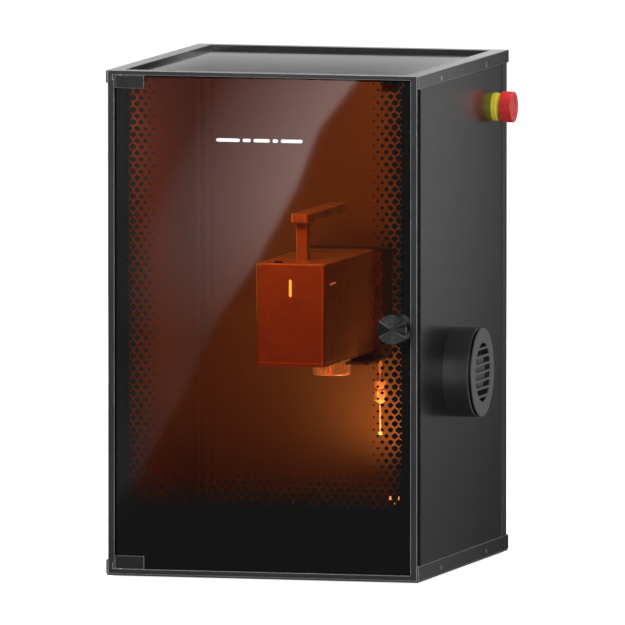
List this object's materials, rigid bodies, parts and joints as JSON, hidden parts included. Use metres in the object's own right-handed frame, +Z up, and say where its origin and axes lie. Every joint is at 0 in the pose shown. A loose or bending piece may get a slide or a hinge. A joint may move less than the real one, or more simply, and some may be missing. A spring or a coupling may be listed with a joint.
{
  "type": "desktop laser cutter",
  "caption": "Tall black desktop laser cutter with an amber see-through pivot door, a laser head on a focus stage, a round exhaust vent and an emergency stop.",
  "frame": {"origin": "centre of the whole machine's footprint, on the surface that it stands on", "axes": "+Z up, -Y towards the user (the door faces -Y), +X to the right seen from the front"},
  "size_m": [0.3748, 0.394, 0.542],
  "materials": {
    "black_steel": "satin black powder coat, fine texture",
    "panel_black": "semi-gloss black sheet",
    "bezel_grey": "satin dark grey paint",
    "foot_rubber": "matt black rubber",
    "screw_steel": "bright steel",
    "bush_brass": "plain brass",
    "seal_rubber": "black sponge strip",
    "black_plastic": "moulded black plastic",
    "estop_yellow": "glossy yellow plastic",
    "estop_red": "glossy red plastic",
    "grey_plastic": "moulded grey plastic",
    "fan_grey": "light grey moulded plastic",
    "led_plastic": "white diffuser",
    "bed_aluminium": "black anodised plate",
    "base_steel": "black painted sheet",
    "board_green": "green circuit board",
    "motor_black": "black painted motor body",
    "amber_glass": "clear amber laser-blocking sheet with a printed black border",
    "clamp_grey": "dark anodised clamp",
    "knob_black": "spun dark anodised face, black side",
    "stage_aluminium": "grey anodised",
    "head_aluminium": "fine satin silver",
    "arm_aluminium": "satin silver",
    "light_diffuser": "glowing status window",
    "lens_black": "black anodised, bright lower rim",
    "lens_optic": "coated lens",
    "laser_black": "black finned heat sink",
    "mirror_coat": "coated mirror"
  },
  "bodies": {
    "enclosure": {"base_plate": "base_steel", "rubber_feet": "foot_rubber", "bottom_rails": "black_steel", "top_rails": "black_steel", "corner_posts": "black_steel", "front_bezel": "bezel_grey", "top_panel": "panel_black", "left_panel": "panel_black", "right_panel": "panel_black", "rear_panel": "black_steel", "top_trim_plates": "bezel_grey", "bottom_trim_plates": "bezel_grey", "trim_screws": "screw_steel", "hinge_bushes": "bush_brass", "door_seal": "seal_rubber", "door_magnet": "black_plastic", "interlock_switch": "black_plastic", "estop_bezel": "estop_yellow", "estop_body": "black_plastic", "vent_collar": "grey_plastic", "vent_grille": "fan_grey", "exhaust_fan_frame": "black_plastic", "fan_screws": "screw_steel", "led_bar": "led_plastic", "machine_base": "base_steel", "work_bed": "bed_aluminium", "power_inlet": "black_plastic", "data_socket": "screw_steel", "power_supply": "screw_steel", "control_board": "board_green", "stage_housing": "stage_aluminium", "stage_rods": "screw_steel", "stage_motor": "motor_black"},
    "door": {"door_glass": "amber_glass", "hinge_clamps": "clamp_grey", "hinge_pins": "screw_steel", "door_knob": "knob_black", "door_strike": "screw_steel"},
    "estop_plunger": {"estop_stem": "black_plastic"},
    "estop_button": {"estop_cap": "estop_red"},
    "fan_rotor": {"exhaust_fan_rotor": "fan_grey"},
    "focus_screw": {"lead_screw": "screw_steel"},
    "mains_rocker": {"power_switch": "black_plastic"},
    "laser_head": {"head_carriage": "stage_aluminium", "stage_nut": "bush_brass", "head_chassis": "head_aluminium", "head_shell": "head_aluminium", "head_rear_cover": "black_plastic", "status_light": "light_diffuser", "handle_post": "arm_aluminium", "handle_arm": "arm_aluminium", "lens_barrel": "lens_black", "lens_glass": "lens_optic", "laser_module": "laser_black", "galvo_block": "laser_black", "probe_body": "screw_steel"},
    "start_key": {"head_button": "black_plastic"},
    "galvo_mirror_x": {"mirror_x": "mirror_coat"},
    "galvo_mirror_y": {"mirror_y": "mirror_coat"},
    "focus_probe": {"probe_rod": "screw_steel"}
  },
  "joints": [
    {"name": "door_swing", "type": "hinge", "parent": "enclosure", "child": "door", "pos_m": [-0.17255, -0.184, 0.27], "axis": [0, 0, -1], "range_deg": [0, 110]},
    {"name": "estop_press", "type": "slide", "parent": "enclosure", "child": "estop_plunger", "axis": [-1, 0, 0], "range_m": [0, 0.004], "stiffness_N_per_m": 900, "springref_m": -0.001},
    {"name": "estop_twist", "type": "hinge", "parent": "estop_plunger", "child": "estop_button", "pos_m": [0.17085, 0.141, 0.485], "axis": [-1, 0, 0], "range_deg": [0, 45], "stiffness_Nm_per_rad": 0.02, "springref_deg": -5.73},
    {"name": "exhaust_fan_spin", "type": "hinge", "parent": "enclosure", "child": "fan_rotor", "pos_m": [0.17085, -0.031, 0.2145], "axis": [1, 0, 0], "continuous": true},
    {"name": "head_lift", "type": "slide", "parent": "enclosure", "child": "laser_head", "axis": [0, 0, 1], "range_m": [-0.015, 0.015]},
    {"name": "lead_screw_spin", "type": "hinge", "parent": "enclosure", "child": "focus_screw", "pos_m": [-0.01515, 0.163, 0.272], "axis": [0, 0, 1], "continuous": true},
    {"name": "power_switch_rock", "type": "hinge", "parent": "enclosure", "child": "mains_rocker", "pos_m": [-0.11665, 0.189, 0.035], "axis": [-1, 0, 0], "range_deg": [0, 16]},
    {"name": "start_key_press", "type": "slide", "parent": "laser_head", "child": "start_key", "axis": [0, 0, -1], "range_m": [0, 0.0012], "stiffness_N_per_m": 400, "springref_m": -0.0005},
    {"name": "mirror_x_turn", "type": "hinge", "parent": "laser_head", "child": "galvo_mirror_x", "pos_m": [0.00085, 0.109, 0.24], "axis": [1, 0, 0], "range_deg": [-12, 12]},
    {"name": "mirror_y_turn", "type": "hinge", "parent": "laser_head", "child": "galvo_mirror_y", "pos_m": [-0.01515, 0.094, 0.267], "axis": [0, 0, 1], "range_deg": [-12, 12]},
    {"name": "focus_probe_press", "type": "slide", "parent": "laser_head", "child": "focus_probe", "axis": [0, 0, 1], "range_m": [0, 0.012], "stiffness_N_per_m": 60, "springref_m": -0.004}
  ],
  "couplings": [
    {"joint": "lead_screw_spin", "follows": "head_lift", "rad_per_m": 785.4}
  ]
}
